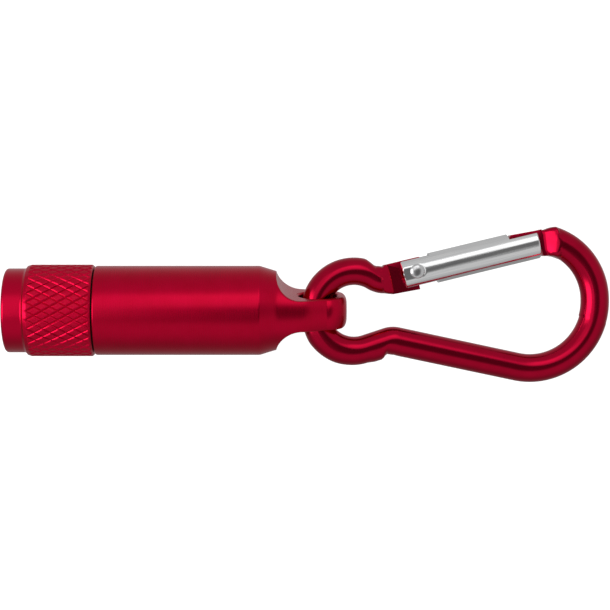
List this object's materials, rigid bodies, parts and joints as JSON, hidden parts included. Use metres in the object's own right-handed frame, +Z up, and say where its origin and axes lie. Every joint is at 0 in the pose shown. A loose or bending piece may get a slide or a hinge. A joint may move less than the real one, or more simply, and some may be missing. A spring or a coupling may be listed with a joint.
{
  "type": "keychain flashlight",
  "caption": "Small anodised torch with a knurled twist head, a tail lug and a spring-gate carabiner for keys or a bag.",
  "frame": {"origin": "middle of the footprint of the whole object's box, on the surface it lies on", "axes": "+X along the torch from its head to the carabiner, +Y across the carabiner towards its gate, +Z up from the surface it lies on"},
  "size_m": [0.1008, 0.026, 0.0152],
  "materials": {
    "anodised_red": "satin red anodised",
    "bare_aluminium": "bright natural",
    "spring_steel": "nickel plated",
    "cell_steel": "satin",
    "reflector_chrome": "mirror",
    "led_epoxy": "clear epoxy",
    "lens_clear": "clear acrylic",
    "holder_plastic": "moulded",
    "circuit_board": "solder mask",
    "sleeve_plastic": "insulating film",
    "seal_rubber": "matt"
  },
  "bodies": {
    "torch": {"barrel": "anodised_red", "battery_sleeve": "sleeve_plastic", "cell_front": "cell_steel", "cell_middle": "cell_steel", "cell_rear": "cell_steel", "tail_spring": "spring_steel"},
    "light_module": {"reflector": "reflector_chrome", "led": "led_epoxy", "led_holder": "holder_plastic", "led_anode_lead": "spring_steel", "led_cathode_lead": "spring_steel", "led_board": "circuit_board", "contact_spring": "spring_steel"},
    "twist_head": {"head": "anodised_red", "lens": "lens_clear", "module_retainer": "bare_aluminium", "neck_seal": "seal_rubber"},
    "carabiner": {"carabiner_body": "anodised_red"},
    "gate_arm": {"gate": "bare_aluminium", "gate_rivet": "bare_aluminium", "gate_spring": "spring_steel"},
    "plunger": {"gate_plunger": "spring_steel"}
  },
  "joints": [
    {"name": "head_travel", "type": "slide", "parent": "torch", "child": "light_module", "axis": [-1, 0, 0], "range_m": [-0.00019, 0.00412]},
    {"name": "head_turn", "type": "hinge", "parent": "light_module", "child": "twist_head", "pos_m": [-0.03575, -0.00109, 0.0076], "axis": [-1, 0, 0], "range_deg": [-90, 1980]},
    {"name": "carabiner_swing", "type": "hinge", "parent": "torch", "child": "carabiner", "pos_m": [0.00125, -0.00109, 0.0076], "axis": [0, -0.9781, -0.2079], "range_deg": [-105, 105]},
    {"name": "gate_open", "type": "hinge", "parent": "carabiner", "child": "gate_arm", "pos_m": [0.01753, 0.00539, 0.00575], "axis": [-0.1124, 0, -0.9937], "range_deg": [0, 38], "stiffness_Nm_per_rad": 0.015, "springref_deg": -28.65},
    {"name": "plunger_travel", "type": "slide", "parent": "gate_arm", "child": "plunger", "axis": [0.9662, 0.2334, -0.1093], "range_m": [0, 0.0007], "deforming": ["gate_spring"]}
  ],
  "couplings": [
    {"joint": "head_turn", "follows": "head_travel", "rad_per_m": 8377.6},
    {"joint": "plunger_travel", "follows": "gate_open", "m_per_rad": 0.001}
  ]
}
